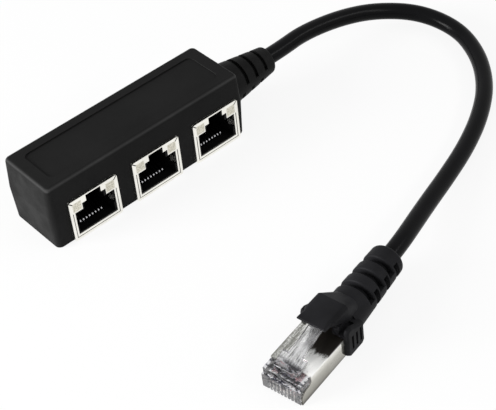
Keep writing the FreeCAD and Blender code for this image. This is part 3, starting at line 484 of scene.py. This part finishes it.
# Cable, along the same points as in the part's source, in millimetres
ROUTE = [(51.5, 0.0, 10.9), (57.0, 0.0, 10.9), (67.0, 1.0, 10.8), (80.9, -0.3, 9.4), (93.2, -3.5, 7.0),
         (103.5, -11.7, 4.7), (106.4, -24.6, 3.2), (101.5, -37.1, 2.6), (92.5, -47.9, 2.5),
         (81.1, -55.9, 2.5), (68.5, -62.0, 2.6), (55.4, -66.9, 3.3), (43.2, -71.3, 4.6),
         (33.2, -75.2, 5.8), (26.33, -77.81, 6.54), (20.99, -79.11, 6.34)]
CABLE_RADIUS = 2.5 * MM


def make_cable():
    """Round jacket along the route, as one smooth curve."""
    curve = bpy.data.curves.new("cable_jacket", "CURVE")
    curve.dimensions = "3D"
    spline = curve.splines.new("NURBS")
    spline.points.add(len(ROUTE) - 1)
    for point, place in zip(spline.points, ROUTE):
        point.co = (*(Vector(place) * MM), 1.0)
    spline.order_u = 3
    spline.use_endpoint_u = True
    spline.resolution_u = 12
    curve.bevel_depth = CABLE_RADIUS
    curve.bevel_resolution = 7
    curve.use_fill_caps = True
    curve.materials.append(jacket_plastic)
    piece = bpy.data.objects.new("cable_jacket", curve)
    bpy.context.collection.objects.link(piece)
    return piece


cable = make_cable()
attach(cable, "root")
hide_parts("cable")


# Stage
PAPER_GLOW = 0.88
PAPER_TONE = 0.95
FLOOR_REACH = 3.0
FLOOR_DROP = 0.1 * MM
SKY_LIGHT = 0.45


def seen_directly(graph):
    """1 where it is seen, straight, reflected or through something clear, and 0 where it gives light."""
    path = graph.add("ShaderNodeLightPath").outputs
    direct = graph.math("MAXIMUM", path["Is Camera Ray"], path["Is Glossy Ray"])
    return graph.math("MAXIMUM", direct, path["Is Transmission Ray"])


def make_floor():
    """Pale paper that is seen nearly white and still takes the object's shadow."""
    graph = material_graph("floor_paper")
    paper = graph.add("ShaderNodeBsdfDiffuse", Color=grey(PAPER_TONE))
    glow = graph.add("ShaderNodeEmission", Strength=1.0)
    share = graph.product(seen_directly(graph), PAPER_GLOW)
    graph.blend(share, paper.outputs["BSDF"], glow.outputs["Emission"])
    mesh = bpy.data.meshes.new("floor")
    sides = ((-1, -1), (1, -1), (1, 1), (-1, 1))
    corners = [(x * FLOOR_REACH, y * FLOOR_REACH, -FLOOR_DROP) for x, y in sides]
    mesh.from_pydata(corners, [], [(0, 1, 2, 3)])
    mesh.materials.append(graph.owner)
    floor = bpy.data.objects.new("floor", mesh)
    bpy.context.collection.objects.link(floor)


def make_world():
    """White where it is seen, and a soft even light."""
    world = bpy.data.worlds.new("studio")
    graph = Graph(world, "ShaderNodeOutputWorld")
    light = graph.add("ShaderNodeBackground", Color=WHITE, Strength=SKY_LIGHT)
    white = graph.add("ShaderNodeBackground", Color=WHITE, Strength=1.0)
    graph.blend(seen_directly(graph), light.outputs["Background"], white.outputs["Background"])
    bpy.context.scene.world = world


def add_light(name, place, target, size, power):
    data = bpy.data.lights.new(name, "AREA")
    data.shape = "RECTANGLE"
    data.size, data.size_y = size
    data.energy = power
    lamp = bpy.data.objects.new(name, data)
    lamp.location = place
    lamp.rotation_euler = (Vector(target) - Vector(place)).to_track_quat("-Z", "Y").to_euler()
    bpy.context.collection.objects.link(lamp)


make_floor()
make_world()
add_light("side_softbox", place=(-0.8, 0.3, 0.26), target=(0.0, -0.03, 0.01),
          size=(0.4, 0.5), power=13.0)
add_light("edge_softbox", place=(0.36, -0.56, 0.48), target=(0.02, -0.02, 0.01),
          size=(0.6, 0.12), power=1.6)


# Camera, as solved from the photo
AZIMUTH = math.radians(-37.27)
ELEVATION = math.radians(43.02)
ROLL = math.radians(-6.36)
TARGET = Vector((13.398, -33.394, 0.0)) * MM
DISTANCE = 398.61 * MM
PHOTO_WIDTH = 496
FOCAL_PIXELS = 1474
SENSOR_WIDTH = 36.0


def make_camera():
    """Camera that looks at the target from the photo's side, rolled as the photo is."""
    level = math.cos(ELEVATION)
    forward = Vector((-math.sin(AZIMUTH) * level, math.cos(AZIMUTH) * level, -math.sin(ELEVATION)))
    right = forward.cross(Vector((0, 0, 1))).normalized()
    up = right.cross(forward)
    turned_right = math.cos(ROLL) * right + math.sin(ROLL) * up
    turned_up = -math.sin(ROLL) * right + math.cos(ROLL) * up
    data = bpy.data.cameras.new("photo_camera")
    data.sensor_fit = "HORIZONTAL"
    data.sensor_width = SENSOR_WIDTH
    data.lens = FOCAL_PIXELS / PHOTO_WIDTH * SENSOR_WIDTH
    data.clip_start = 0.01
    camera = bpy.data.objects.new("photo_camera", data)
    turn = Matrix((turned_right, turned_up, -forward)).transposed().to_4x4()
    camera.matrix_world = Matrix.Translation(TARGET - forward * DISTANCE) @ turn
    bpy.context.collection.objects.link(camera)
    bpy.context.scene.camera = camera


make_camera()
bpy.context.scene.view_settings.view_transform = "Standard"
